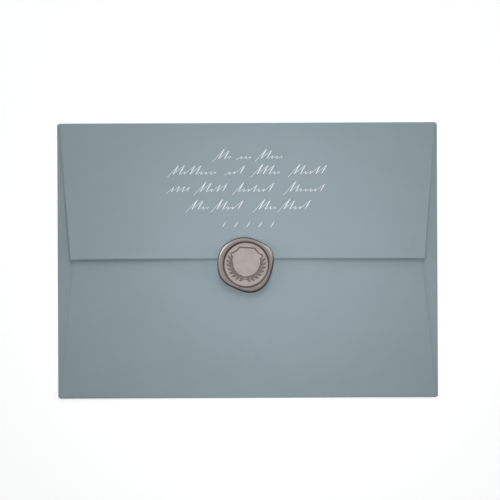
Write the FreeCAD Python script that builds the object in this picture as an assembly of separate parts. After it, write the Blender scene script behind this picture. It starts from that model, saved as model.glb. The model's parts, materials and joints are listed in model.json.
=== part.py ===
# A closed A7 envelope of folded paper, shut by a stamped wax seal.
#
# It lies on its address side. X runs along its width, Y from the bottom fold to the top fold,
# and Z from the table up to the seal. The origin is the middle of the address side's outer face.
# Lengths are in millimetres and angles in degrees.
#
# The sheet is one piece: address side, two side flaps folded in first, the bottom flap glued
# over them, and the top flap folded over that. The closed pocket bulges a little in its middle.

import FreeCAD, Part
import math
import os

Vector = FreeCAD.Vector
UP = Vector(0, 0, 1)

# The sheet and how its layers lie
envelope_width = 184.15
envelope_height = 133.35
envelope_corner_radius = 0.5
paper = 0.20
air = 0.12
crown = 1.2

# Top flap: its insets are from the side folds, at its own fold and at its free edge. That edge
# springs up by the lift, and less in its middle, where the seal holds it within the reach.
flap_depth = 66.0
flap_fold_inset = 0.8
flap_edge_inset = 6.3
flap_corner_radius = 0.6
flap_lift = 1.6
flap_middle_lift = 0.8
flap_hold_reach = 32.0

# Bottom flap
back_depth = 86.0
back_fold_inset = 1.1
back_edge_inset = 8.9
back_corner_radius = 3.0

# Side flaps: their ends slant away from the top and bottom folds
side_depth = 21.0
side_fold_inset = 1.1
side_end_slant = 6.0
side_corner_radius = 3.0

# Seam glue, between the side flaps and the bottom flap
glue_width = 5.0
glue_margin = 1.6
glue_clearance = 0.02

# Wax seal: rim widths run anticlockwise from the +X side, evenly spaced round the stamp. The
# rim's section is half round about a middle at a share of the seal's height, from its foot at
# the first turn over its crest to the last, one step of the turn after another.
seal_centre_x = -0.7
seal_drop = 2.7
stamp_radius = 10.7
rim_widths = (2.45, 3.25, 2.20, 2.50, 2.90, 3.40, 3.05, 3.15, 2.10, 2.75, 3.30, 2.40)
seal_height = 2.1
rim_middle = 0.55
rim_turn = (-40.0, 160.0)
rim_step = 20.0
stamp_depth = 0.80
seal_clearance = 0.02

# Crest stamped in the wax, measured from the middle of the stamp: a blank shield with hollowed
# top corners and a round foot, and two leaf sprays that meet under it. The stamp sits turned.
stamp_turn = -4.0
relief_height = 0.30
shield_top = (3.8, 8.2)
shield_hollow = 0.5
shield_ear = (7.6, 5.1)
shield_waist = (6.8, 0.4)
shield_flank = 1.7
shield_foot = -6.1
shield_line = 0.45
spray_middle = 1.0
spray_radius = 8.0
spray_end = 14.0
spray_leaves = 8
spray_stem = 0.35
leaf_length = 2.3
leaf_width = 0.95
leaf_angle = 38.0

# White pen flourishes on the top flap, as slanted waves: hairlines going up, and down strokes
# whose middle is wider to each side by a share of their length. Feet are spaced by a pitch that
# grows with the height of the stroke. The lead-in starts below the baseline by a share of the
# first stroke's height.
ink_height = 0.05
ink_clearance = 0.01
hairline_width = 0.17
stroke_swell = 0.03
stroke_slant = 32.0
stroke_pitch = 2.0
pitch_share = 0.2
lead_in = 0.3

# Rows of flourishes, in squares of the grid that they are drawn on: a baseline's distance below
# the top fold, then each wave's first foot along the row and the heights of its down strokes
pen_grid = 1.0
flourish_rows = (
    (
        17.6,
        (
            (-14.0, (5.0, 4.2, 1.6)),
            (-3.2, (1.3, 1.3, 1.1)),
            (6.5, (5.0, 4.2, 1.7, 1.5, 1.3)),
        ),
    ),
    (
        25.1,
        (
            (-36.0, (4.6, 4.6, 1.6, 4.4, 4.4, 1.6, 1.4, 1.6, 1.4)),
            (-9.0, (1.5, 1.6, 4.4)),
            (4.6, (5.2, 4.4, 4.6, 1.5, 1.4)),
            (22.6, (5.2, 4.6, 1.5, 1.6, 4.0, 4.4)),
        ),
    ),
    (
        33.6,
        (
            (-37.0, (2.6, 3.0, 2.8, 2.6)),
            (-23.0, (5.2, 4.6, 1.6, 3.6, 4.2)),
            (-4.5, (4.8, 1.6, 1.5, 3.4, 1.5, 1.6, 4.4)),
            (20.5, (5.2, 3.6, 1.6, 1.5, 1.6, 1.4, 3.8)),
        ),
    ),
    (
        42.1,
        (
            (-27.0, (5.0, 4.4, 1.6, 1.4)),
            (-15.0, (5.2, 4.2, 1.6, 1.5, 4.4)),
            (5.5, (5.0, 4.4, 1.6, 1.4)),
            (17.5, (5.2, 4.2, 1.6, 1.5, 4.4)),
        ),
    ),
)

# Last row, of single short strokes
tick_drop = 50.8
tick_first = -12.2
tick_pitch = 5.85
tick_count = 5
tick_height = 3.0

# Longest span between the spline points of a curved panel
panel_span = 5.0

# Heights of the undersides of the layers where they leave their folds
side_rise = paper + air
back_rise = side_rise + paper + air
flap_rise = back_rise + paper + air

# Lines where the flat address side runs into its folds
side_line = envelope_width / 2 - (side_rise + paper) / 2
bottom_line = -envelope_height / 2 + (back_rise + paper) / 2
top_line = envelope_height / 2 - (flap_rise + paper) / 2

# A height above all of the paper
overhead = flap_rise + crown + flap_lift + 2 * paper

# Free edges and the middle of the seal
flap_edge_y = envelope_height / 2 - flap_depth
back_edge_y = -envelope_height / 2 + back_depth
seal_centre_y = flap_edge_y - seal_drop


def bulge(x, y):
    """Rise of the closed pocket: level at the folds and flat-topped in the middle."""
    u = x / side_line
    v = (2 * y - top_line - bottom_line) / (top_line - bottom_line)
    return crown * (1 - u**4) ** 2 * (1 - v**4) ** 2


def side_underside(x, y):
    """Height of the side flaps' underside."""
    return side_rise + bulge(x, y)


def back_underside(x, y):
    """Height of the bottom flap's underside."""
    return back_rise + bulge(x, y)


def flap_underside(x, y):
    """Height of the top flap's underside: it springs up more and more towards its edge."""
    t = (top_line - y) / (top_line - flap_edge_y)
    hold = (flap_lift - flap_middle_lift) * math.exp(-((x / flap_hold_reach) ** 4))
    return flap_rise + bulge(x, y) + (flap_lift - hold) * t**2


def spread(low, high, step):
    """Evenly spaced values from low to high, at most a step apart and at least four."""
    count = max(3, math.ceil((high - low) / step))
    return [low + (high - low) * i / count for i in range(count + 1)]


def curved_panel(underside, x_range, y_range, thickness, offset=0.0):
    """Solid over a rectangle, from underside(x, y) plus offset up by thickness."""
    rows = [
        [Vector(x, y, underside(x, y) + offset) for y in spread(*y_range, panel_span)]
        for x in spread(*x_range, panel_span)
    ]
    surface = Part.BSplineSurface()
    surface.interpolate(rows)
    return surface.toShape().extrude(UP * thickness)


def face_within(edges):
    """Flat face inside a closed loop of edges."""
    return Part.Face(Part.Wire(Part.__sortEdges__(edges)))


def outline(corners, radii=None, swells=None):
    """Flat face inside an outline that runs anticlockwise through corners.

    Each corner is rounded by a tangent arc of its radius. The side after it bows outwards by
    its swell, or inwards where that is negative.
    """
    corners = [Vector(*corner) for corner in corners]
    radii = radii or [0] * len(corners)
    swells = swells or [0] * len(corners)
    edges = []
    ends = []
    for i, (here, radius) in enumerate(zip(corners, radii)):
        back = (corners[i - 1] - here).normalize()
        ahead = (corners[(i + 1) % len(corners)] - here).normalize()
        reach = 0
        if radius > 0:
            half = back.getAngle(ahead) / 2
            reach = radius / math.tan(half)
            middle = here + (back + ahead).normalize() * (radius / math.sin(half) - radius)
            edges.append(Part.Arc(here + back * reach, middle, here + ahead * reach).toShape())
        ends.append((here + back * reach, here + ahead * reach))
    for i, swell in enumerate(swells):
        leaving = ends[i][1]
        arriving = ends[(i + 1) % len(ends)][0]
        if swell:
            outward = (arriving - leaving).normalize().cross(UP)
            bowed = (leaving + arriving) / 2 + outward * swell
            edges.append(Part.Arc(leaving, bowed, arriving).toShape())
        else:
            edges.append(Part.LineSegment(leaving, arriving).toShape())
    return face_within(edges)


def prism(face, low, high):
    """Upright prism over a flat face, from height low to height high."""
    solid = face.extrude(UP * (high - low))
    solid.translate(UP * low)
    return solid


def fold(start, outward, along, rise):
    """Half turn of the sheet, from the address side up to a layer whose underside is at rise."""
    outer = (rise + paper) / 2
    inner = outer - paper
    centre = start + UP * outer

    def half_circle(radius):
        return Part.Arc(
            centre - UP * radius, centre + outward * radius, centre + UP * radius
        ).toShape()

    def cut_end(side):
        return Part.LineSegment(centre + UP * side * inner, centre + UP * side * outer).toShape()

    section = face_within([half_circle(outer), cut_end(1), half_circle(inner), cut_end(-1)])
    return section.extrude(along)


def address_side():
    """Flat panel on the table, between the four folds."""
    corners = [
        (-side_line, bottom_line),
        (side_line, bottom_line),
        (side_line, top_line),
        (-side_line, top_line),
    ]
    return prism(outline(corners, [envelope_corner_radius] * 4), 0, paper)


def bottom_flap():
    """Bottom fold and the back of the pocket, tapered towards its free edge."""
    root = envelope_width / 2 - back_fold_inset
    edge = envelope_width / 2 - back_edge_inset
    corners = [(-root, bottom_line), (root, bottom_line), (edge, back_edge_y), (-edge, back_edge_y)]
    radii = [0, 0, back_corner_radius, back_corner_radius]
    panel = curved_panel(
        back_underside, (-side_line, side_line), (bottom_line, back_edge_y), paper
    )
    panel = panel.common(prism(outline(corners, radii), 0, overhead))
    start = Vector(-root, bottom_line, 0)
    return fold(start, Vector(0, -1, 0), Vector(2 * root, 0, 0), back_rise), panel


def top_flap():
    """Top fold and the flap that closes the envelope, tapered towards its free edge."""
    root = envelope_width / 2 - flap_fold_inset
    edge = envelope_width / 2 - flap_edge_inset
    corners = [(-root, top_line), (-edge, flap_edge_y), (edge, flap_edge_y), (root, top_line)]
    radii = [0, flap_corner_radius, flap_corner_radius, 0]
    panel = curved_panel(flap_underside, (-side_line, side_line), (flap_edge_y, top_line), paper)
    panel = panel.common(prism(outline(corners, radii), 0, overhead))
    start = Vector(-root, top_line, 0)
    return fold(start, Vector(0, 1, 0), Vector(2 * root, 0, 0), flap_rise), panel


def side_flap(side):
    """Side fold and its narrow flap; side is 1 on the right and -1 on the left."""
    low = -envelope_height / 2 + side_fold_inset
    high = envelope_height / 2 - side_fold_inset
    inner_x = side * (envelope_width / 2 - side_depth)
    line_x = side * side_line
    corners = [
        (line_x, low),
        (line_x, high),
        (inner_x, high - side_end_slant),
        (inner_x, low + side_end_slant),
    ]
    radii = [0, 0, side_corner_radius, side_corner_radius]
    panel = curved_panel(side_underside, sorted((inner_x, line_x)), (low, high), paper)
    panel = panel.common(prism(outline(corners, radii), 0, overhead))
    start = Vector(line_x, low, 0)
    return fold(start, Vector(side, 0, 0), Vector(0, high - low, 0), side_rise), panel


def envelope_sheet():
    """The whole folded sheet as one solid."""
    pieces = [*bottom_flap(), *top_flap(), *side_flap(-1), *side_flap(1)]
    return address_side().multiFuse(pieces).removeSplitter()


def seam_glue(side):
    """Strip of glue under one slanted edge of the bottom flap."""
    start_y = -envelope_height / 2 + side_fold_inset + side_end_slant + glue_margin
    end_y = back_edge_y - back_corner_radius - glue_margin
    taper = (back_edge_inset - back_fold_inset) / back_depth

    def edge_x(y):
        return envelope_width / 2 - back_fold_inset - taper * (y + envelope_height / 2)

    def line(inset):
        return [(side * (edge_x(y) - inset), y) for y in (start_y, end_y)]

    corners = line(glue_margin) + line(glue_margin + glue_width)[::-1]
    xs = sorted(x for x, _ in corners)
    strip = curved_panel(
        side_underside,
        (xs[0], xs[-1]),
        (start_y, end_y),
        air - 2 * glue_clearance,
        paper + glue_clearance,
    )
    return strip.common(prism(outline(corners), 0, overhead))


def along_turn(angle):
    """Unit vector in the XY plane, turned by angle from +X."""
    turn = math.radians(angle)
    return Vector(math.cos(turn), math.sin(turn), 0)


def rim_wire(share, height):
    """Closed wire round the stamp, share of the way out across the uneven rim."""
    count = len(rim_widths)
    points = []
    for i, width in enumerate(rim_widths):
        radius = stamp_radius + share * width
        points.append(along_turn(360 * i / count) * radius + UP * height)
    curve = Part.BSplineCurve()
    curve.interpolate(Points=points, PeriodicFlag=True, Parameters=list(range(count + 1)))
    return Part.Wire(curve.toShape())


def wax_blank():
    """Squeezed-out wax with its rolled rim and the sunk round bed that the stamp left."""
    rounding = seal_height * (1 - rim_middle)
    profile = []
    for turn in spread(*rim_turn, rim_step):
        angle = math.radians(turn)
        height = seal_height * rim_middle + rounding * math.sin(angle)
        profile.append(((1 + math.cos(angle)) / 2, height))
    foot = (profile[0][0], -(paper + air + flap_lift))
    bed = (0, seal_height - stamp_depth)
    wires = [rim_wire(share, height) for share, height in (foot, *profile, bed)]
    return Part.makeLoft(wires, True, True)


def shield_rim(low, high):
    """Raised line along the outline of the shield."""
    right = [(0, shield_foot), shield_waist, shield_ear, shield_top]
    left = [(-x, y) for x, y in right[:0:-1]]
    swells = [shield_flank, 0, -shield_hollow, 0, -shield_hollow, 0, shield_flank]
    shield = outline(right + left, swells=swells)
    return prism(shield.cut(shield.makeOffset2D(-shield_line)), low, high)


def right_spray(low, high):
    """Stem that curves up round the right side of the shield, with evenly spaced leaf pairs."""
    start = -90
    sweep = spray_end - start
    base = Vector(0, spray_middle, low)
    outer = Part.makeCylinder(spray_radius + spray_stem / 2, high - low, base, UP, sweep)
    inner = Part.makeCylinder(spray_radius - spray_stem / 2, high - low, base, UP, sweep)
    stem = outer.cut(inner)
    stem.rotate(base, UP, start)
    solids = [stem]
    for i in range(spray_leaves):
        angle = start + sweep * (i + 0.5) / spray_leaves
        foot = Vector(0, spray_middle, 0) + along_turn(angle) * spray_radius
        for lean in (leaf_angle, -leaf_angle):
            tip = foot + along_turn(angle + 90 - lean) * leaf_length
            leaf = outline((foot, tip), swells=(leaf_width / 2, leaf_width / 2))
            solids.append(prism(leaf, low, high))
    return solids


def crest():
    """Solids of the relief that the stamp leaves on its bed."""
    bed = seal_height - stamp_depth
    low = bed - relief_height
    high = bed + relief_height
    spray = right_spray(low, high)
    mirrored = [solid.mirror(Vector(0, 0, 0), Vector(1, 0, 0)) for solid in spray]
    solids = [shield_rim(low, high), *spray, *mirrored]
    for solid in solids:
        solid.rotate(Vector(0, 0, 0), UP, stamp_turn)
    return solids


def paper_under_seal():
    """What lies under the seal, each layer grown by the clearance that the wax keeps from it."""
    reach = stamp_radius + 2 * max(rim_widths)
    x_range = (seal_centre_x - reach, seal_centre_x + reach)
    y_low, y_high = seal_centre_y - reach, seal_centre_y + reach
    deep = 2 * (back_rise + crown)
    back = curved_panel(
        back_underside, x_range, (y_low, y_high), deep, paper + seal_clearance - deep
    )
    flap = curved_panel(
        flap_underside,
        x_range,
        (flap_edge_y - seal_clearance, y_high),
        deep,
        paper + seal_clearance - deep,
    )
    return [back, flap]


def wax_seal():
    """Stamped seal that bridges the top flap's free edge and the bottom flap."""
    seal = wax_blank().multiFuse(crest())
    seat = flap_underside(seal_centre_x, flap_edge_y) + paper
    seal.translate(Vector(seal_centre_x, seal_centre_y, seat))
    return seal.cut(paper_under_seal()).removeSplitter()


def pen_path(first, heights, baseline):
    """Turning points of a slanted wave: a lead-in, then each down stroke's top and foot."""
    lean = math.tan(math.radians(stroke_slant))
    x = first
    path = []
    for height in heights:
        step = stroke_pitch + pitch_share * height
        if path:
            x += step
        elif len(heights) > 1:
            path.append(Vector(x - step, baseline - lead_in * height, 0))
        path += [Vector(x + height * lean, baseline + height, 0), Vector(x, baseline, 0)]
    return path


def pen_line(path):
    """Flat face of the line that a pen leaves along the path."""
    ways = [(end - start).normalize() for start, end in zip(path, path[1:])]
    half = hairline_width / 2
    right = []
    left = []
    for i, point in enumerate(path):
        before = ways[max(i - 1, 0)].cross(UP)
        after = ways[min(i, len(ways) - 1)].cross(UP)
        offset = (before + after) * (half / (1 + before.dot(after)))
        right.append(point + offset)
        left.append(point - offset)
        if i < len(ways) and ways[i].y < 0:
            middle = (point + path[i + 1]) / 2
            offset = after * (half + stroke_swell * (path[i + 1] - point).Length)
            right.append(middle + offset)
            left.append(middle - offset)
    return outline(right + left[::-1])


def ink_on_flap(line):
    """Film of ink over a pen line, lying on the top flap."""
    box = line.BoundBox
    film = curved_panel(
        flap_underside,
        (box.XMin - hairline_width, box.XMax + hairline_width),
        (box.YMin - hairline_width, box.YMax + hairline_width),
        ink_height,
        paper + ink_clearance,
    )
    return film.common(prism(line, 0, overhead))


def pen_flourishes():
    """White ink on the top flap, one solid for each stretch of the pen."""
    fold_y = envelope_height / 2
    lines = []
    for drop, waves in flourish_rows:
        baseline = fold_y - drop * pen_grid
        for first, squares in waves:
            heights = [count * pen_grid for count in squares]
            lines.append(pen_line(pen_path(first * pen_grid, heights, baseline)))
    for i in range(tick_count):
        tick = pen_path(tick_first + i * tick_pitch, (tick_height,), fold_y - tick_drop)
        lines.append(pen_line(tick))
    return Part.makeCompound([ink_on_flap(line) for line in lines])


def main():
    os.makedirs("parts", exist_ok=True)
    nodes = {
        "envelope_sheet": envelope_sheet(),
        "left_seam_glue": seam_glue(-1),
        "right_seam_glue": seam_glue(1),
        "wax_seal": wax_seal(),
        "pen_flourishes": pen_flourishes(),
    }
    for name, shape in nodes.items():
        shape.exportStep(os.path.join("parts", name + ".step"))
        print(name, len(shape.Solids), "solids", round(shape.Volume, 2), "mm3", shape.isValid())


main()
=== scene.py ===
# %% [markdown]
# # A paper envelope shut by a wax seal
# A sheet of blue-grey paper is folded round a pocket, its square flap comes down over the back,
# and a stamped drop of wax holds it shut. The frame brings the envelope at its true size, lying
# on its address side. Here each visible piece gets a fine surface, and then paper, wax and ink.

import json
import math

import bmesh
import bpy
import numpy as np
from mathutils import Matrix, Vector

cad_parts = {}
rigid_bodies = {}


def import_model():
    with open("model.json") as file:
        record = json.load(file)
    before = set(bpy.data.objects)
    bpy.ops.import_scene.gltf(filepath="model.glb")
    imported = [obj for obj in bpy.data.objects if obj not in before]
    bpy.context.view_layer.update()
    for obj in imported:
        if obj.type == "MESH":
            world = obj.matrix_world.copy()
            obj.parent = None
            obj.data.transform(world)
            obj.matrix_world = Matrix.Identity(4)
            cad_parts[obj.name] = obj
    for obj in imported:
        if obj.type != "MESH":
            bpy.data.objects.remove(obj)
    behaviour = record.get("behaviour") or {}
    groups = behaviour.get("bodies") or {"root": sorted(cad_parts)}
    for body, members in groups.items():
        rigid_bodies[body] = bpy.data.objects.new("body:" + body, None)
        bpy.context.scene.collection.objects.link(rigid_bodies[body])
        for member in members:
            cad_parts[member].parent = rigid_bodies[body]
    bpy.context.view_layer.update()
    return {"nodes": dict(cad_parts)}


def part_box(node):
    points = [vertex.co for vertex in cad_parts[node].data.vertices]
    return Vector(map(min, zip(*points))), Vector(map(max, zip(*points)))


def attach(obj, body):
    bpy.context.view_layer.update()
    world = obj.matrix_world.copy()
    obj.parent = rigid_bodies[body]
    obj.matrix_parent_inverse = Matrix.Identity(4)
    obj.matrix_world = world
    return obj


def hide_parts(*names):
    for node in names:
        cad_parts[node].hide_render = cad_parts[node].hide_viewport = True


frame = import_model()

# %% [markdown]
# ## The envelope's measures
# The width and the height come from the frame. The rest is what a folder would know: how thick
# the paper is, how much air stays between two layers, and how far each flap reaches. A layer's
# rise is the height of its underside where it leaves its fold. A flap has its root at its fold
# and its edge where it is cut, and root_half is half the width of the top and the bottom fold.

# %% Measures of the sheet
mm = 0.001
sheet_low, sheet_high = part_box("envelope_sheet")
half_width = (sheet_high.x - sheet_low.x) / 2
half_height = (sheet_high.y - sheet_low.y) / 2

paper = 0.20 * mm
air = 0.12 * mm
crown = 1.2 * mm
side_rise = paper + air
back_rise = side_rise + paper + air
flap_rise = back_rise + paper + air

side_line = half_width - (side_rise + paper) / 2
bottom_line = -half_height + (back_rise + paper) / 2
top_line = half_height - (flap_rise + paper) / 2
print("sheet:", round(2 * half_width / mm, 2), "by", round(2 * half_height / mm, 2), "mm")

# %% Measures of the flaps
root_half = half_width - 0.8 * mm

flap_edge = half_width - 6.3 * mm
flap_edge_y = half_height - 66.0 * mm
flap_corner = 0.6 * mm
flap_bow = 0.3 * mm
flap_lift, flap_middle_lift = 1.6 * mm, 0.8 * mm
flap_hold_reach = 32.0 * mm

back_edge = half_width - 8.9 * mm
back_edge_y = -half_height + 86.0 * mm
back_corner = 3.0 * mm

side_root = half_height - 0.62 * mm
side_edge = side_root - 6.0 * mm
side_edge_x = half_width - 21.0 * mm
side_corner = 3.0 * mm
print("top flap ends", round(flap_edge_y / mm, 2), "mm from the middle of the envelope")

# %% [markdown]
# ## How the layers lie
# A closed pocket is never quite flat. It bulges in its middle, and stays level where the folds
# hold it. One function gives that rise for all of the layers, so that they keep their distance
# and never cut each other. Very slow ripples, a few hundredths of a millimetre high, make the
# light wander over the paper as it does on a real one.

# %% Heights of the layers
def hold(x, y):
    """One in the middle, falling smoothly to zero at the folds: (1 - u^4)^2 (1 - v^4)^2."""
    u = np.clip(x / side_line, -1, 1)
    v = np.clip((2 * y - top_line - bottom_line) / (top_line - bottom_line), -1, 1)
    return (1 - u**4) ** 2 * (1 - v**4) ** 2


ripple_waves = (
    (0.030 * mm, 71 * mm, 93 * mm, 0.0),
    (0.018 * mm, 43 * mm, -57 * mm, 1.1),
    (0.008 * mm, 29 * mm, 31 * mm, 2.3),
)


def ripples(x, y):
    """Sum of slow sine waves, each with a height, its lengths along X and Y and a shift."""
    return sum(
        height * np.sin(2 * np.pi * (x / long_x + y / long_y) + shift)
        for height, long_x, long_y, shift in ripple_waves
    )


def bulge(x, y):
    """Rise of the pocket: the crown and its ripples, both held flat at the folds."""
    return (crown + ripples(x, y)) * hold(x, y)


def side_underside(x, y):
    """Underside of the side flaps."""
    return side_rise + bulge(x, y)


def back_underside(x, y):
    """Underside of the bottom flap."""
    return back_rise + bulge(x, y)


def flap_underside(x, y):
    """Underside of the top flap: it springs up towards its edge, less where the seal holds it."""
    t = (top_line - y) / (top_line - flap_edge_y)
    held = (flap_lift - flap_middle_lift) * np.exp(-((x / flap_hold_reach) ** 4))
    return flap_rise + bulge(x, y) + (flap_lift - held) * t**2


seat = float(flap_underside(0.0, flap_edge_y)) + paper
print("the flap's edge lies", round(seat / mm, 2), "mm above the table in its middle")

# %% [markdown]
# ## Grids of points
# Every surface here is a grid: two parameters run along its rows and columns, and numpy works
# out all the points at once. Two small helpers turn such grids into a mesh. Grids that share a
# border are laid side by side, and their doubled points are merged.

# %% From grids to a mesh
def quads(rows, columns, start=0, flipped=False):
    """Corner numbers of the faces between neighbouring points of a grid."""
    corner = start + np.arange(rows - 1)[:, None] * columns + np.arange(columns - 1)
    faces = np.stack([corner, corner + 1, corner + 1 + columns, corner + columns], axis=-1)
    faces = faces.reshape(-1, 4)
    return faces[:, ::-1] if flipped else faces


def new_piece(name, points, faces, **attributes):
    """Object with a mesh of these points and faces, and one number per point for each name."""
    mesh = bpy.data.meshes.new(name)
    mesh.from_pydata(points.reshape(-1, 3), [], faces)
    for key, values in attributes.items():
        layer = mesh.attributes.new(key, "FLOAT", "POINT")
        layer.data.foreach_set("value", np.asarray(values, np.float32).ravel())
    piece = bpy.data.objects.new(name, mesh)
    bpy.context.scene.collection.objects.link(piece)
    return piece


def merge_doubles(piece, distance=0.001 * mm):
    """Joins the points that lie on each other."""
    work = bmesh.new()
    work.from_mesh(piece.data)
    bmesh.ops.remove_doubles(work, verts=work.verts, dist=distance)
    work.to_mesh(piece.data)
    work.free()


def open_edges(piece):
    """How many edges of a mesh don't lie between exactly two faces."""
    corners = np.zeros(len(piece.data.loops), np.int64)
    piece.data.loops.foreach_get("edge_index", corners)
    return int((np.bincount(corners, minlength=len(piece.data.edges)) != 2).sum())


# %% [markdown]
# ## The folded sheet
# The whole envelope is cut from one sheet. The address side is a flat grid on the table. From
# each of its four sides the paper runs round a half circle and comes back as a flap, so each
# fold is a true bend with a radius. The sheet is first made without thickness, along the middle
# of the paper, and then gets its two faces and its cut edges at once.

# %% Where the grid lines run
def both_sides(values):
    """The same distances on either side of zero."""
    values = np.asarray(values)
    return np.concatenate([-values, values])


corner_band = 2 * mm
near_corner = np.array([0.0, 0.15, 0.3, 0.5, 0.8, 1.2]) * mm


def fold_points(half, count):
    """Even points along a fold, with closer ones near its two ends."""
    even = np.linspace(-(half - corner_band), half - corner_band, count)
    return np.unique(np.concatenate([even, both_sides(half - near_corner)]))


across_root = fold_points(root_half, 111)
along_root = fold_points(side_root, 81)
across_all = np.unique(np.concatenate([across_root, both_sides([side_line])]))
along_all = np.unique(np.concatenate([along_root, [bottom_line, top_line]]))
print("address side:", len(along_all), "rows of", len(across_all), "points")

# %% A flap and its fold
def tapered(root_points, edge_half, line, edge, corner, bow, rows):
    """Points of a flap in its plane, from the fold line to its free edge.

    Each row is the root row scaled to the flap's width there. Near the free corners the rows
    draw back along a quarter circle, and by the bow in their middle, as a hand-cut edge does.
    Returns across, along and the way to the cut edge.
    """
    fold_half = root_points.max()
    t = np.sin(np.linspace(0, np.pi / 2, rows))[:, None]
    half = fold_half + t * (edge_half - fold_half)
    across = root_points[None, :] / fold_half * half
    over = np.clip(np.abs(across) - (edge_half - corner), 0, corner)
    drawn_back = corner - np.sqrt(corner**2 - over**2) + bow * (1 - (across / half) ** 2)
    way = np.sign(edge - line)
    along = line + t * (edge - way * drawn_back - line)
    to_cut = np.minimum(half - np.abs(across), np.abs(along - along[-1]))
    return across, along, to_cut


def half_turn(root_points, line, way, rise, steps=10):
    """Points round a fold: a half circle of the paper's middle, from the table side up."""
    turn = np.linspace(-np.pi / 2, np.pi / 2, steps + 1)[:, None]
    across = np.broadcast_to(root_points, (steps + 1, len(root_points)))
    along = line + way * rise / 2 * np.cos(turn) + 0 * across
    height = (rise + paper) / 2 + rise / 2 * np.sin(turn) + 0 * across
    to_cut = root_points.max() - np.abs(across)
    return across, along, height, to_cut


# %% All panels of the sheet
panels = []


def add_panel(x, y, z, to_cut, flipped):
    """Keeps a grid of points with the way to its cut edge and the side its faces look to."""
    panels.append((np.stack([x, y, z], axis=-1), np.broadcast_to(to_cut, x.shape), flipped))


def add_flap(root_points, edge_half, line, edge, corner, bow, rows, rise, underside, upright,
             flipped):
    """Adds a fold and its flap. An upright one has its fold along Y instead of X."""
    way = np.sign(line)
    across, along, height, to_cut = half_turn(root_points, line, way, rise)
    x, y = (along, across) if upright else (across, along)
    add_panel(x, y, height, to_cut, flipped)
    across, along, to_cut = tapered(root_points, edge_half, line, edge, corner, bow, rows)
    x, y = (along, across) if upright else (across, along)
    add_panel(x, y, underside(x, y) + paper / 2, to_cut, flipped)


flap_rows, side_rows = 90, 24
far_from_a_cut = 10 * mm
grid_x, grid_y = np.meshgrid(across_all, along_all)
add_panel(grid_x, grid_y, np.full_like(grid_x, paper / 2), far_from_a_cut, False)
add_flap(across_root, flap_edge, top_line, flap_edge_y, flap_corner, flap_bow, flap_rows,
         flap_rise, flap_underside, False, False)
add_flap(across_root, back_edge, bottom_line, back_edge_y, back_corner, 0, flap_rows,
         back_rise, back_underside, False, True)
for side in (1, -1):
    add_flap(along_root, side_edge, side * side_line, side * side_edge_x, side_corner, 0,
             side_rows, side_rise, side_underside, True, side > 0)
print(len(panels), "panels")

# %% The sheet and its thickness
def finished(piece, sharp_degrees=40):
    """Makes the modifiers final, then shades smoothly except across sharp edges."""
    bpy.context.view_layer.update()
    ready = piece.evaluated_get(bpy.context.evaluated_depsgraph_get())
    mesh = bpy.data.meshes.new_from_object(ready)
    piece.modifiers.clear()
    piece.data = mesh
    mesh.shade_smooth()
    mesh.set_sharp_from_angle(angle=math.radians(sharp_degrees))
    return piece


starts = np.cumsum([0] + [points[..., 0].size for points, _, _ in panels])
sheet = new_piece(
    "folded_sheet",
    np.concatenate([points.reshape(-1, 3) for points, _, _ in panels]),
    np.concatenate([
        quads(*points.shape[:2], start, flipped)
        for (points, _, flipped), start in zip(panels, starts)
    ]),
    to_cut=np.concatenate([to_cut.ravel() for _, to_cut, _ in panels]) / mm,
)
merge_doubles(sheet)
thickness = sheet.modifiers.new("paper thickness", "SOLIDIFY")
thickness.thickness = paper
thickness.offset = 0
thickness.use_even_offset = True
thickness.material_offset_rim = 1
finished(sheet)
print("folded sheet:", len(sheet.data.polygons), "faces,", open_edges(sheet), "open edges")

# %% [markdown]
# ## The wax seal
# A spoonful of wax is poured over the flap's edge and a round stamp is pressed in. The wax
# creeps out into a rolled, uneven rim, and the stamp leaves a sunk bed with a raised crest. The
# seal is one closed skin: rings of points run from the middle of the bed out over the rim, down
# its foot, and back to the middle along the underside, which follows the step of the flap. A
# place on the rim's round section is given in degrees: it starts at the bed at 162, is highest
# at 90, widest at 0 and ends under its foot at -40.

# %% Measures of the seal
seal_x = -0.7 * mm
seal_y = flap_edge_y - 2.7 * mm
stamp_radius = 10.7 * mm
rim_widths = np.array(
    [2.45, 3.25, 2.20, 2.50, 2.90, 3.40, 3.05, 3.15, 2.10, 2.75, 3.30, 2.40]
) * mm
seal_height = 2.1 * mm
rim_middle, rim_sag = 0.55, 0.14
rim_start, rim_end = 162, -40
stamp_depth = 0.80 * mm
bed_height = seal_height - stamp_depth
bed_lump = 0.012 * mm
groove_width, groove_depth = 0.4 * mm, 0.10 * mm
wall_foot = 0.02 * mm
seal_clearance = 0.02 * mm
slope_start, slope_length = 0.4 * mm, 0.36 * mm
ring_points = 560
print("stamped bed:", round(2 * stamp_radius / mm, 1), "mm across")

# %% The crest
stamp_turn = -4.0
relief_height = 0.30 * mm
shield_top = (3.8 * mm, 8.2 * mm)
shield_ear = (7.6 * mm, 5.1 * mm)
shield_waist = (6.8 * mm, 0.4 * mm)
shield_foot = -6.1 * mm
shield_hollow, shield_flank, shield_line = 0.5 * mm, 1.7 * mm, 0.45 * mm
spray_middle, spray_radius = 1.0 * mm, 8.0 * mm
spray_end, spray_leaves, spray_stem = 14.0, 8, 0.35 * mm
leaf_length, leaf_width, leaf_angle = 2.3 * mm, 0.95 * mm, 38.0
leaf_groove_depth, leaf_groove_width = 0.35, 0.09 * mm
stem_share = 0.8


def bowed(start, end, swell, steps=12):
    """Points of a shallow curve that stands off the straight line by swell in its middle."""
    start, end = np.array(start), np.array(end)
    t = np.linspace(0, 1, steps)[:, None]
    way = (end - start) / np.linalg.norm(end - start)
    out = np.array([way[1], -way[0]])
    return start + (end - start) * t + out * swell * 4 * t * (1 - t)


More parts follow.
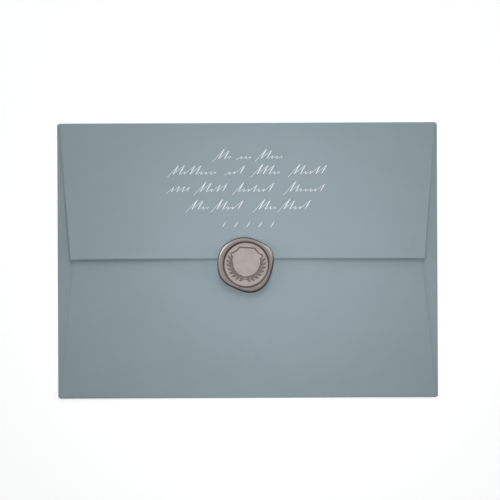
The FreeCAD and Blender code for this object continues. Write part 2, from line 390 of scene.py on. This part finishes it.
shield = np.concatenate([
    bowed((0, shield_foot), shield_waist, shield_flank),
    bowed(shield_waist, shield_ear, 0)[1:],
    bowed(shield_ear, shield_top, -shield_hollow)[1:],
    bowed(shield_top, (0, shield_top[1]), 0)[1:],
])
print("half of the shield's outline:", len(shield), "points")

# %% Relief of the crest
def distance_to_line(x, y, line):
    """Distance from each point to the nearest of a line's straight stretches."""
    start, step = line[:-1], np.diff(line, axis=0)
    px = x[..., None] - start[:, 0]
    py = y[..., None] - start[:, 1]
    t = np.clip((px * step[:, 0] + py * step[:, 1]) / (step**2).sum(axis=1), 0, 1)
    return np.hypot(px - t * step[:, 0], py - t * step[:, 1]).min(axis=-1)


def ridge(distance, width):
    """Rounded ridge: a cosine hump of this width, one on its line and zero beside it."""
    return 0.5 + 0.5 * np.cos(np.pi * np.clip(distance / (0.75 * width), 0, 1))


def leaf(x, y, foot, heading):
    """Lens-shaped leaf: a rounded back with a fine groove along its middle."""
    along = ((x - foot[0]) * heading[0] + (y - foot[1]) * heading[1]) / leaf_length
    across = (x - foot[0]) * -heading[1] + (y - foot[1]) * heading[0]
    half = leaf_width / 2 * 4 * np.clip(along * (1 - along), 0, 1) + 1e-9
    body = np.sqrt(np.clip(1 - (across / half) ** 2, 0, 1))
    body = body * np.clip(half / (0.25 * leaf_width), 0, 1)
    return body * (1 - leaf_groove_depth * np.exp(-((across / leaf_groove_width) ** 2)))


def turned(angle):
    """Unit direction at this angle in degrees from the X axis."""
    return np.array([math.cos(math.radians(angle)), math.sin(math.radians(angle))])


def crest(x, y):
    """Height of the relief, as a share of its full height; both halves mirror each other."""
    turn = turned(stamp_turn)
    x, y = np.abs(x * turn[0] + y * turn[1]), y * turn[0] - x * turn[1]
    height = ridge(distance_to_line(x, y, shield), shield_line)
    above = y - spray_middle
    on_stem = np.degrees(np.arctan2(above, x)) < spray_end + 2
    stem = ridge(np.abs(np.hypot(x, above) - spray_radius), spray_stem) * on_stem
    height = np.maximum(height, stem_share * stem)
    for i in range(spray_leaves):
        angle = -90 + (spray_end + 90) * (i + 0.5) / spray_leaves
        foot = turned(angle) * spray_radius + np.array([0, spray_middle])
        for lean in (leaf_angle, -leaf_angle):
            height = np.maximum(height, leaf(x, y, foot, turned(angle + 90 - lean)))
    return height


# %% Section of the seal
def rim_width(angle):
    """Rim width round the stamp: a smooth wave through the twelve measured widths."""
    count = len(rim_widths)
    terms = np.fft.rfft(rim_widths) / count
    weights = np.array([1] + [2] * (count // 2 - 1) + [1])
    waves = np.exp(1j * np.arange(count // 2 + 1)[:, None] * angle)
    return (weights[:, None] * terms[:, None] * waves).real.sum(axis=0)


def support(x, y):
    """Top of the paper under the seal, with the flap's edge eased into a short slope."""
    slope = np.clip((y - flap_edge_y + slope_start) / slope_length, 0, 1)
    back = back_underside(x, y) + paper
    flap = flap_underside(x, np.maximum(y, flap_edge_y)) + paper
    return back + (flap - back) * slope + seal_clearance


bed_steps = np.linspace(0, 1, 104)
rim_turn = np.radians(np.linspace(rim_start, rim_end, 40))
under_steps = np.linspace(1, 0, 12)
share = (1 + np.cos(rim_turn)) / 2
height = seal_height * (rim_middle + (1 - rim_middle) * np.sin(rim_turn))
print("section:", len(bed_steps) + len(rim_turn) + len(under_steps), "points")

# %% Skin of the seal
theta = np.linspace(0, 2 * np.pi, ring_points, endpoint=False)
width = rim_width(theta)


def rings(radius, height):
    """Rings of points round the seal's middle, in the envelope's frame."""
    x = seal_x + radius * np.cos(theta)
    y = seal_y + radius * np.sin(theta)
    return np.stack([x, y, height + 0 * radius], axis=-1)


bed_radius = bed_steps[:, None] * stamp_radius + 0 * theta
bed_x, bed_y = bed_radius * np.cos(theta), bed_radius * np.sin(theta)
lumps = np.sin(bed_x / (0.9 * mm) + 1.3 * np.sin(bed_y / (1.7 * mm)))
lumps = lumps * np.sin(bed_y / (1.1 * mm) + np.sin(bed_x / (1.3 * mm)))
bitten = np.exp(-(((stamp_radius - bed_radius) / groove_width) ** 2))
bed = seat + bed_height + relief_height * crest(bed_x, bed_y) + bed_lump * lumps
bed -= groove_depth * bitten

rim_radius = stamp_radius + share[:, None] * width
swing = 0.05 * np.sin(3 * theta + 0.7) + 0.03 * np.sin(5 * theta + 2.1)
roll = np.sin(rim_turn)[:, None] ** 2
rim = seat + height[:, None] * (1 + (swing - rim_sag) * 0.5 * roll)
rim[0] = bed[-1] + wall_foot

under = rings(under_steps[:, None] * rim_radius[-1], 0.0)
under[..., 2] = support(under[..., 0], under[..., 1])

skin = np.concatenate([rings(bed_radius, bed), rings(rim_radius, rim), under])
skin = np.concatenate([skin, skin[:, :1]], axis=1)
print("seal:", skin.shape[0], "rings of", skin.shape[1], "points")

# %% [markdown]
# Pearly wax is painted pale where it lies level and darker wherever it is steep: this painted
# shade on the slopes is what makes the crest stand out. So each point gets some numbers for the
# wax to read: how steep the skin is there, whether it lies in the groove that the stamp's rim
# cut round the bed, up the bed's wall or on the crest, all of which get painted shade, on the
# shoulder of the rolled rim, or at the foot, which gets a dark painted shade where the seal
# meets the paper. That painted shade is broadest at one side, whose direction is given in
# degrees.

# %% Seal
# Where painted shade falls: up the bed's wall, in the groove and on the crest. The rim and
# shoulder bands place the rim's darker tone and its gloss.
wall_shade_band, rim_band, shoulder_band = (120, 136), (150, 120), (100, 75)
groove_shade_reach, crest_shade_share = 0.24 * mm, 0.65
# Reach of the painted shade at the seal's foot, broadest at one side given in degrees.
foot_shade_side, foot_shade_least, foot_shade_more, foot_shade_full = -65, 0.55 * mm, 0.75 * mm, 1.25


def fade(value, band):
    """Rises from 0 where the band starts to 1 where it ends."""
    return np.clip((value - band[0]) / (band[1] - band[0]), 0, 1)


def ring_share(bed, rim, under):
    """One number for each point of the skin, from its three groups of rings."""
    parts = [np.broadcast_to(part, (len(steps), ring_points))
             for part, steps in ((bed, bed_steps), (rim, rim_turn), (under, under_steps))]
    values = np.concatenate(parts)
    return np.concatenate([values, values[:, :1]], axis=1)


turn = np.degrees(rim_turn)[:, None]
# Painted shade in the groove round the bed and on the crest.
groove_and_crest_shade = np.exp(-(((stamp_radius - bed_radius) / groove_shade_reach) ** 2))
groove_and_crest_shade = np.maximum(groove_and_crest_shade, crest_shade_share * crest(bed_x, bed_y))
# Painted shade at the foot, where the seal meets the paper, broader towards one side.
from_edge = (1 - share[:, None]) * width
foot_shade_reach = foot_shade_least + foot_shade_more * np.clip(np.cos(theta - np.radians(foot_shade_side)), 0, 1)
foot_shade = np.where(turn < 0, 1, np.clip(foot_shade_full - from_edge / foot_shade_reach, 0, 1))
# The groove and foot numbers below carry painted shade.
seal = new_piece(
    "stamped_seal", skin, quads(*skin.shape[:2], flipped=True),
    groove=ring_share(groove_and_crest_shade, fade(turn, wall_shade_band), 0),
    rim=ring_share(0, fade(turn, rim_band), 1),
    shoulder=ring_share(0, fade(turn, shoulder_band) * (1 - foot_shade), 0),
    foot=ring_share(0, foot_shade, 1),
)
merge_doubles(seal)
finished(seal, 70)
# The tilt of the skin sets the painted shade on its slopes.
normals = np.zeros(3 * len(seal.data.vertices), np.float32)
seal.data.vertex_normals.foreach_get("vector", normals)
tilt = np.degrees(np.arccos(np.clip(normals[2::3], -1, 1)))
seal.data.attributes.new("tilt", "FLOAT", "POINT").data.foreach_set("value", tilt / 90)
print("seal:", len(seal.data.polygons), "faces,", open_edges(seal), "open edges")

# %% [markdown]
# ## The pen flourishes
# White lines lie on the flap in five rows, as waves of slanted strokes. They are no letters. A
# pointed pen leaves a hairline going up and a stroke that swells going down, and it rounds its
# turns. So the path is a zigzag whose points are averaged over a short stretch, which rounds
# the turns and keeps the straight strokes, and a low, rounded bead of ink is carried along it.
# Each row has its drop below the envelope's top edge, and its waves: where one starts, and how
# high its strokes are, all in millimetres.

# %% Measures of the pen lines
ink_height = 0.05 * mm
ink_clearance = 0.01 * mm
hairline = 0.17 * mm
stroke_swell = 0.03
stroke_lean = math.tan(math.radians(32.0))
stroke_pitch, pitch_share = 2.0 * mm, 0.2
lead_in = 0.3
flourish_rows = {
    17.6: ((-14.0, (5.0, 4.2, 1.6)), (-3.2, (1.3, 1.3, 1.1)), (6.5, (5.0, 4.2, 1.7, 1.5, 1.3))),
    25.1: (
        (-36.0, (4.6, 4.6, 1.6, 4.4, 4.4, 1.6, 1.4, 1.6, 1.4)),
        (-9.0, (1.5, 1.6, 4.4)),
        (4.6, (5.2, 4.4, 4.6, 1.5, 1.4)),
        (22.6, (5.2, 4.6, 1.5, 1.6, 4.0, 4.4)),
    ),
    33.6: (
        (-37.0, (2.6, 3.0, 2.8, 2.6)),
        (-23.0, (5.2, 4.6, 1.6, 3.6, 4.2)),
        (-4.5, (4.8, 1.6, 1.5, 3.4, 1.5, 1.6, 4.4)),
        (20.5, (5.2, 3.6, 1.6, 1.5, 1.6, 1.4, 3.8)),
    ),
    42.1: (
        (-27.0, (5.0, 4.4, 1.6, 1.4)),
        (-15.0, (5.2, 4.2, 1.6, 1.5, 4.4)),
        (5.5, (5.0, 4.4, 1.6, 1.4)),
        (17.5, (5.2, 4.2, 1.6, 1.5, 4.4)),
    ),
    50.8: tuple((-12.2 + 5.85 * i, (3.0,)) for i in range(5)),
}
print(sum(len(waves) for waves in flourish_rows.values()), "waves of the pen")

# %% Path of the pen
def turning_points(first, heights, baseline):
    """Lead-in, then the top and the foot of each down stroke, and how far each stroke swells."""
    x = first
    points = []
    for height in heights:
        step = stroke_pitch + pitch_share * height
        if points:
            x += step
        elif len(heights) > 1:
            points.append((x - step, baseline - lead_in * height))
        points += [(x + height * stroke_lean, baseline + height), (x, baseline)]
    points = np.array(points)
    drop = np.diff(points, axis=0)
    swells = np.where(drop[:, 1] < 0, stroke_swell * np.hypot(drop[:, 0], drop[:, 1]), 0)
    return points, swells


def pen_path(first, heights, baseline, step=0.14 * mm, window=0.45 * mm):
    """Centre points and half widths along a wave, each a mean over a short window."""
    points, swells = turning_points(first, heights, baseline)
    lengths = np.hypot(*np.diff(points, axis=0).T)
    ends = np.concatenate([[0], np.cumsum(lengths)])
    middles = (ends[:-1] + ends[1:]) / 2
    at = np.linspace(0, ends[-1], int(ends[-1] / step) + 2)
    reach = np.minimum(window, np.minimum(at, ends[-1] - at))
    near = at + np.linspace(-1, 1, 11)[:, None] * reach
    x = np.interp(near, ends, points[:, 0]).mean(axis=0)
    y = np.interp(near, ends, points[:, 1]).mean(axis=0)
    stops = np.concatenate([ends, middles])
    widths = np.concatenate([0 * ends, swells])
    order = np.argsort(stops)
    swell = np.interp(near, stops[order], widths[order]).mean(axis=0)
    taper = np.clip(np.minimum(at, ends[-1] - at) / (0.5 * mm), 0.25, 1)
    return np.stack([x, y], axis=-1), (hairline / 2 + swell) * taper


# %% Beads of ink
def bead(path, half, sides=8):
    """Closed low bead along a path: a flat oval ring at each point, lying on the flap."""
    way = np.gradient(path, axis=0)
    way /= np.linalg.norm(way, axis=1)[:, None]
    turn = np.linspace(0, 2 * np.pi, sides, endpoint=False)
    reach = half[:, None] * np.cos(turn)
    x = path[:, :1] - way[:, 1:] * reach
    y = path[:, 1:] + way[:, :1] * reach
    rise = ink_clearance + ink_height * (0.5 + 0.5 * np.sin(turn))
    return np.stack([x, y, flap_underside(x, y) + paper + rise], axis=-1)


points, faces = [], []
count = 0
for drop, waves in flourish_rows.items():
    for first, heights in waves:
        path, half = pen_path(
            first * mm, np.array(heights) * mm, half_height - drop * mm
        )
        ring = bead(path, half)
        length, sides = ring.shape[:2]
        around = np.arange(sides)
        first_corners = count + np.arange(length - 1)[:, None] * sides
        corner, beside = first_corners + around, first_corners + np.roll(around, -1)
        tube = np.stack([corner, corner + sides, beside + sides, beside], axis=-1)
        faces += tube.reshape(-1, 4).tolist()
        faces.append((count + around).tolist())
        faces.append((count + (length - 1) * sides + around[::-1]).tolist())
        points.append(ring.reshape(-1, 3))
        count += length * sides
flourishes = new_piece("pen_lines", np.concatenate(points), faces)
finished(flourishes, 80)
print("pen lines:", len(flourishes.data.polygons), "faces,", open_edges(flourishes), "open edges")

# %% [markdown]
# ## Materials
# Shader maths is written as Python: a small class wraps a socket, and adding or multiplying two
# of them lays down the Math nodes. One more method adds any other node with its settings and
# its inputs, so a finish reads as a short recipe.

# %% Sockets as values
class Value:
    """One output socket of a material, with arithmetic that adds Math nodes."""

    def __init__(self, tree, socket=None):
        self.tree = tree
        self.socket = socket

    def node(self, kind, settings=None, inputs=None, output=0):
        """Adds a node: its settings come first, then its inputs by name or number."""
        made = self.tree.nodes.new(kind)
        for key, value in (settings or {}).items():
            setattr(made, key, value)
        for key, value in (inputs or {}).items():
            if isinstance(value, Value):
                self.tree.links.new(value.socket, made.inputs[key])
            else:
                made.inputs[key].default_value = value
        return Value(self.tree, made.outputs[output])

    def math(self, operation, *values):
        """Adds a Math node that works on these values."""
        return self.node("ShaderNodeMath", {"operation": operation}, dict(enumerate(values)))

    def __add__(self, other):
        return self.math("ADD", self, other)

    def __rsub__(self, other):
        return self.math("SUBTRACT", other, self)

    def __mul__(self, other):
        return self.math("MULTIPLY", self, other)

    def clamped(self, low, high):
        """Rises from 0 at low to 1 at high."""
        return self.node("ShaderNodeMapRange", {}, {0: self, 1: low, 2: high, 3: 0.0, 4: 1.0})

    def between(self, first, second):
        """Colour between two others, with this value as the share of the second."""
        first, second = (
            shade if isinstance(shade, Value) else (*shade, 1) for shade in (first, second)
        )
        inputs = {0: self, 6: first, 7: second}
        return self.node("ShaderNodeMix", {"data_type": "RGBA"}, inputs, 2)


def new_material(name):
    """Empty node material, and a value to start its recipe with."""
    material = bpy.data.materials.new(name)
    material.use_nodes = True
    material.node_tree.nodes.clear()
    return material, Value(material.node_tree)


def surface(start, shader):
    """Connects a shader to the material's output."""
    output = start.tree.nodes.new("ShaderNodeOutputMaterial")
    start.tree.links.new(shader.socket, output.inputs["Surface"])


def noise(start, scale, detail=2.0, roughness=0.5):
    """Soft random pattern fixed to the object, with this many cells to the metre."""
    place = start.node("ShaderNodeTexCoord", output=3)
    inputs = {"Vector": place, "Scale": scale, "Detail": detail, "Roughness": roughness}
    return start.node("ShaderNodeTexNoise", {}, inputs)


# %% [markdown]
# ### Paper
# The sheet is a smooth, dyed writing paper. Its colour is even from afar, and close by it shows
# faint clouds where the fibres lie denser, and a fine tooth that scatters the light. Along a cut
# edge the paper is painted a little darker, a painted shade that stands for the thin shadow along
# the edge of a layer. Each point of the sheet knows its way to the nearest cut in millimetres,
# and the painted shade fades over half of one.

# %% Paper
dense_paper, thin_paper = (0.292, 0.362, 0.399), (0.316, 0.388, 0.424)
# Painted shade: the darker tone along cut edges stands in for the thin shadow there.
painted_edge_shade = (0.235, 0.293, 0.323)
edge_shade_from, edge_shade_to = 0.05, 0.6


def paper_material(name, edge_shade_share):
    """Dyed paper; the second argument is how far all of it takes the painted edge shade."""
    material, start = new_material(name)
    clouds = noise(start, 55.0, 3.0)
    fibres = noise(start, 900.0, 4.0, 0.65)
    shade = clouds * 0.55 + fibres * 0.45
    colour = shade.clamped(0.3, 0.7).between(dense_paper, thin_paper)
    # Painted shade along each cut edge, fading over about half a millimetre.
    to_cut = start.node("ShaderNodeAttribute", {"attribute_name": "to_cut"}, output=2)
    edge_shade = (1 - to_cut.clamped(edge_shade_from, edge_shade_to)) * 0.5 + edge_shade_share
    colour = edge_shade.between(colour, painted_edge_shade)
    tooth = noise(start, 3200.0, 3.0, 0.7) * 0.6 + noise(start, 700.0, 2.0) * 0.4
    bump = start.node(
        "ShaderNodeBump", {}, {"Strength": 0.25, "Distance": 0.00003, "Height": tooth}
    )
    surface(start, start.node("ShaderNodeBsdfPrincipled", {}, {
        "Base Color": colour,
        "Roughness": fibres.clamped(0.2, 0.8) * 0.1 + 0.80,
        "Specular IOR Level": 0.3,
        "Normal": bump,
    }))
    return material


# The second material, on the cut faces, takes half of the painted edge shade all over.
sheet.data.materials.append(paper_material("blue grey paper", 0.0))
sheet.data.materials.append(paper_material("cut paper edge", 0.5))
print("paper on", sheet.name)

# %% [markdown]
# ### Sealing wax
# The wax is pale on the level bed, and painted dark as shade on the sides of the crest, on the
# crest itself, in the groove, up the wall of the bed and round its foot, by the numbers that each
# point of the skin carries; the rim takes a darker tone. Streaks of a greyer tone and a faint
# blush come from pouring. Only the shoulder of the rim, which no stamp has touched, keeps a
# clear gloss.

# %% Wax
bed_tone, grey_streak, blush_tone = (0.46, 0.395, 0.375), (0.41, 0.36, 0.345), (0.43, 0.31, 0.30)
# Painted shade: tones for slopes and for steep sides.
slope_shade_tone, steep_shade_tone = (0.29, 0.24, 0.22), (0.045, 0.040, 0.038)
rim_tone = (0.15, 0.122, 0.112)
# Painted shade: tones for the groove and crest, and for the seal's foot.
groove_shade_tone, foot_shade_tone = (0.050, 0.036, 0.032), (0.022, 0.021, 0.020)
wax, start = new_material("pearly wax")
# The groove and foot numbers are painted shade; the tilt sets painted shade on slopes.
tilt_value, groove_shade_value, rim_value, shoulder_value, foot_shade_value = (
    start.node("ShaderNodeAttribute", {"attribute_name": name}, output=2)
    for name in ("tilt", "groove", "rim", "shoulder", "foot")
)
streaks = noise(start, 210.0, 4.0, 0.6)
grain = noise(start, 5200.0, 2.0, 0.6)
blush = noise(start, 330.0, 2.0).clamped(0.52, 0.68)
level = streaks.clamped(0.38, 0.62).between(bed_tone, grey_streak)
level = (blush * 0.5).between(level, blush_tone)
# Painted shade on slopes and, further down, on steep sides, by the tilt of the skin.
tone = tilt_value.clamped(0.05, 0.25).between(level, slope_shade_tone)
tone = (rim_value * 0.6).between(tone, rim_tone)
tone = tilt_value.clamped(0.30, 0.60).between(tone, steep_shade_tone)
# Painted shade in the groove, up the bed's wall and on the crest.
tone = (groove_shade_value * 0.95).between(tone, groove_shade_tone)
# Painted shade round the seal's foot.
tone = (foot_shade_value * 0.95).between(tone, foot_shade_tone)
skin_bump = noise(start, 900.0, 3.0) * 0.7 + grain * 0.3
surface(start, start.node("ShaderNodeBsdfPrincipled", {}, {
    "Base Color": tone,
    "Roughness": streaks * 0.12 + 0.42,
    "Specular IOR Level": 0.3,
    "Coat Weight": shoulder_value * 0.9,
    "Coat IOR": 1.9,
    "Coat Roughness": 0.36,
    "Normal": start.node(
        "ShaderNodeBump", {}, {"Strength": 0.25, "Distance": 0.00008, "Height": skin_bump}
    ),
}))
seal.data.materials.append(wax)
print("wax on", seal.name)

# %% [markdown]
# ### Ink and glue
# The ink is a chalky white that thins out here and there. The seam glue lies hidden between the
# layers as two dried, slightly yellow strips; they come from the frame as they are.

# %% Ink and glue
full_ink, thin_ink = (0.91, 0.96, 0.97), (0.80, 0.87, 0.89)
pale_glue, dark_glue = (0.74, 0.69, 0.58), (0.64, 0.60, 0.50)
ink, start = new_material("white ink")
thin = noise(start, 1500.0, 3.0).clamped(0.35, 0.75)
surface(start, start.node("ShaderNodeBsdfPrincipled", {}, {
    "Base Color": thin.between(full_ink, thin_ink),
    "Roughness": thin * 0.2 + 0.5,
}))
flourishes.data.materials.append(ink)

glue, start = new_material("dried glue")
cloudy = noise(start, 400.0, 3.0)
surface(start, start.node("ShaderNodeBsdfPrincipled", {}, {
    "Base Color": cloudy.clamped(0.3, 0.7).between(pale_glue, dark_glue),
    "Roughness": cloudy * 0.2 + 0.3,
}))
for name in ("left_seam_glue", "right_seam_glue"):
    solid = frame["nodes"][name]
    solid.data.materials.clear()
    solid.data.materials.append(glue)
print("ink on", flourishes.name, "and glue on both seams")

# %% Tie the pieces to the frame
for piece, node, slot in (
    (sheet, "envelope_sheet", "paper"),
    (seal, "wax_seal", "sealing_wax"),
    (flourishes, "pen_flourishes", "white_ink"),
):
    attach(piece, "root")
    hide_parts(node)
    print(piece.name, "stands for", node)

# %% [markdown]
# ## The stage
# The envelope lies on a pale floor that the camera sees as white. Near the envelope the floor
# still darkens where the paper shades it, and further off it is plain white. The light is that
# of a small studio, in metres and watts: two lamps overhead, whose pool of light fades towards
# the envelope's corners, and four soft ones further off, which draw the flap's edges. They
# aren't mirrored in the wax. Two more lamps are there only for the wax to mirror, and lay the
# streaks of light on the shoulders of its rim.

# %% Floor
floor_half, floor_drop = 3.0, 0.02 * mm
shade_ends, white_starts = 0.13, 0.30
floor_points = np.array([[-1, -1, 0], [1, -1, 0], [1, 1, 0], [-1, 1, 0]]) * floor_half
floor_points[:, 2] = -floor_drop
floor = new_piece("floor", floor_points, [(0, 1, 2, 3)])

floor_paint, start = new_material("floor")
plain = start.node("ShaderNodeBsdfDiffuse", {}, {"Color": (0.8, 0.8, 0.8, 1)})
glow = start.node("ShaderNodeEmission", {}, {"Color": (1, 1, 1, 1), "Strength": 0.5})
near = start.node("ShaderNodeAddShader", {}, {0: plain, 1: glow})
far = start.node("ShaderNodeEmission", {}, {"Color": (1, 1, 1, 1), "Strength": 1.0})
place = start.node("ShaderNodeTexCoord", output=3)
distance = start.node("ShaderNodeVectorMath", {"operation": "LENGTH"}, {0: place}, 1)
far_share = distance.clamped(shade_ends, white_starts)
bright = start.node("ShaderNodeMixShader", {}, {0: far_share, 1: near, 2: far})
seen = [start.node("ShaderNodeLightPath", output=name)
        for name in ("Is Camera Ray", "Is Glossy Ray", "Is Transmission Ray")]
direct = seen[0].math("MAXIMUM", seen[0], seen[1]).math("MAXIMUM", seen[0], seen[2])
surface(start, start.node("ShaderNodeMixShader", {}, {0: direct, 1: plain, 2: bright}))
floor.data.materials.append(floor_paint)

# %% World
world = bpy.data.worlds.new("surround")
world.use_nodes = True
bpy.context.scene.world = world
world.node_tree.nodes.clear()
sky = Value(world.node_tree)
even = sky.node("ShaderNodeBackground", {}, {"Color": (0.88, 1.0, 1.04, 1), "Strength": 0.06})
white = sky.node("ShaderNodeBackground", {}, {"Color": (1, 1, 1, 1), "Strength": 1.0})
camera_ray = sky.node("ShaderNodeLightPath", output="Is Camera Ray")
backdrop = sky.node("ShaderNodeMixShader", {}, {0: camera_ray, 1: even, 2: white})
output = world.node_tree.nodes.new("ShaderNodeOutputWorld")
world.node_tree.links.new(backdrop.socket, output.inputs["Surface"])

# %% Lamps
def add_lamp(name, kind, place, target, power, **settings):
    """Lamp at a place, turned towards a target."""
    lamp = bpy.data.lights.new(name, kind)
    lamp.energy = power
    for key, value in settings.items():
        setattr(lamp, key, value)
    holder = bpy.data.objects.new(name, lamp)
    bpy.context.scene.collection.objects.link(holder)
    holder.location = place
    holder.rotation_euler = (Vector(target) - Vector(place)).to_track_quat("-Z", "Y").to_euler()
    holder.visible_camera = False
    return holder


add_lamp("pool", "SPOT", (0.012, 0.006, 0.50), (0.012, 0.006, 0), 3.3,
         spot_size=math.radians(27), spot_blend=1.0, shadow_soft_size=0.06)
for name, place, power, size in (
    ("near", (0.012, -0.10, 0.28), 0.18, 0.12),
    ("above", (0.012, 0.62, 0.62), 1.9, 0.30),
    ("top", (0.14, 1.30, 0.48), 4.6, 0.50),
    ("left", (-1.30, 0.10, 0.36), 5.8, 0.40),
    ("right", (1.30, 0.10, 0.36), 5.0, 0.40),
):
    add_lamp(name, "AREA", place, (0, 0, 0), power, size=size)
for holder in bpy.context.scene.objects:
    if holder.type == "LIGHT":
        holder.visible_glossy = False
for name, place, power in (
    ("sheen_left", (-0.40, 0.26, 0.42), 5.0),
    ("sheen_right", (0.38, 0.30, 0.42), 4.0),
):
    add_lamp(name, "AREA", place, (0, 0, 0), power, size=0.30).visible_diffuse = False

# %% [markdown]
# ## The camera
# The camera looks straight down from a good distance, as on a copy stand, and is turned a
# quarter of a degree, as the picture is.

# %% Camera
lens = 120.0
film = 36.0
view_width = 241.6 * mm
view_x, view_y = 1.19 * mm, 5.0 * mm
camera_turn = -0.25
camera = bpy.data.objects.new("camera", bpy.data.cameras.new("camera"))
bpy.context.scene.collection.objects.link(camera)
camera.data.lens = lens
camera.data.sensor_width = film
camera.location = (view_x, view_y, view_width * lens / film + seat)
camera.rotation_euler = (0, 0, math.radians(camera_turn))
bpy.context.scene.camera = camera
bpy.context.scene.view_settings.view_transform = "Standard"
print("camera height:", round(camera.location.z, 3), "m")
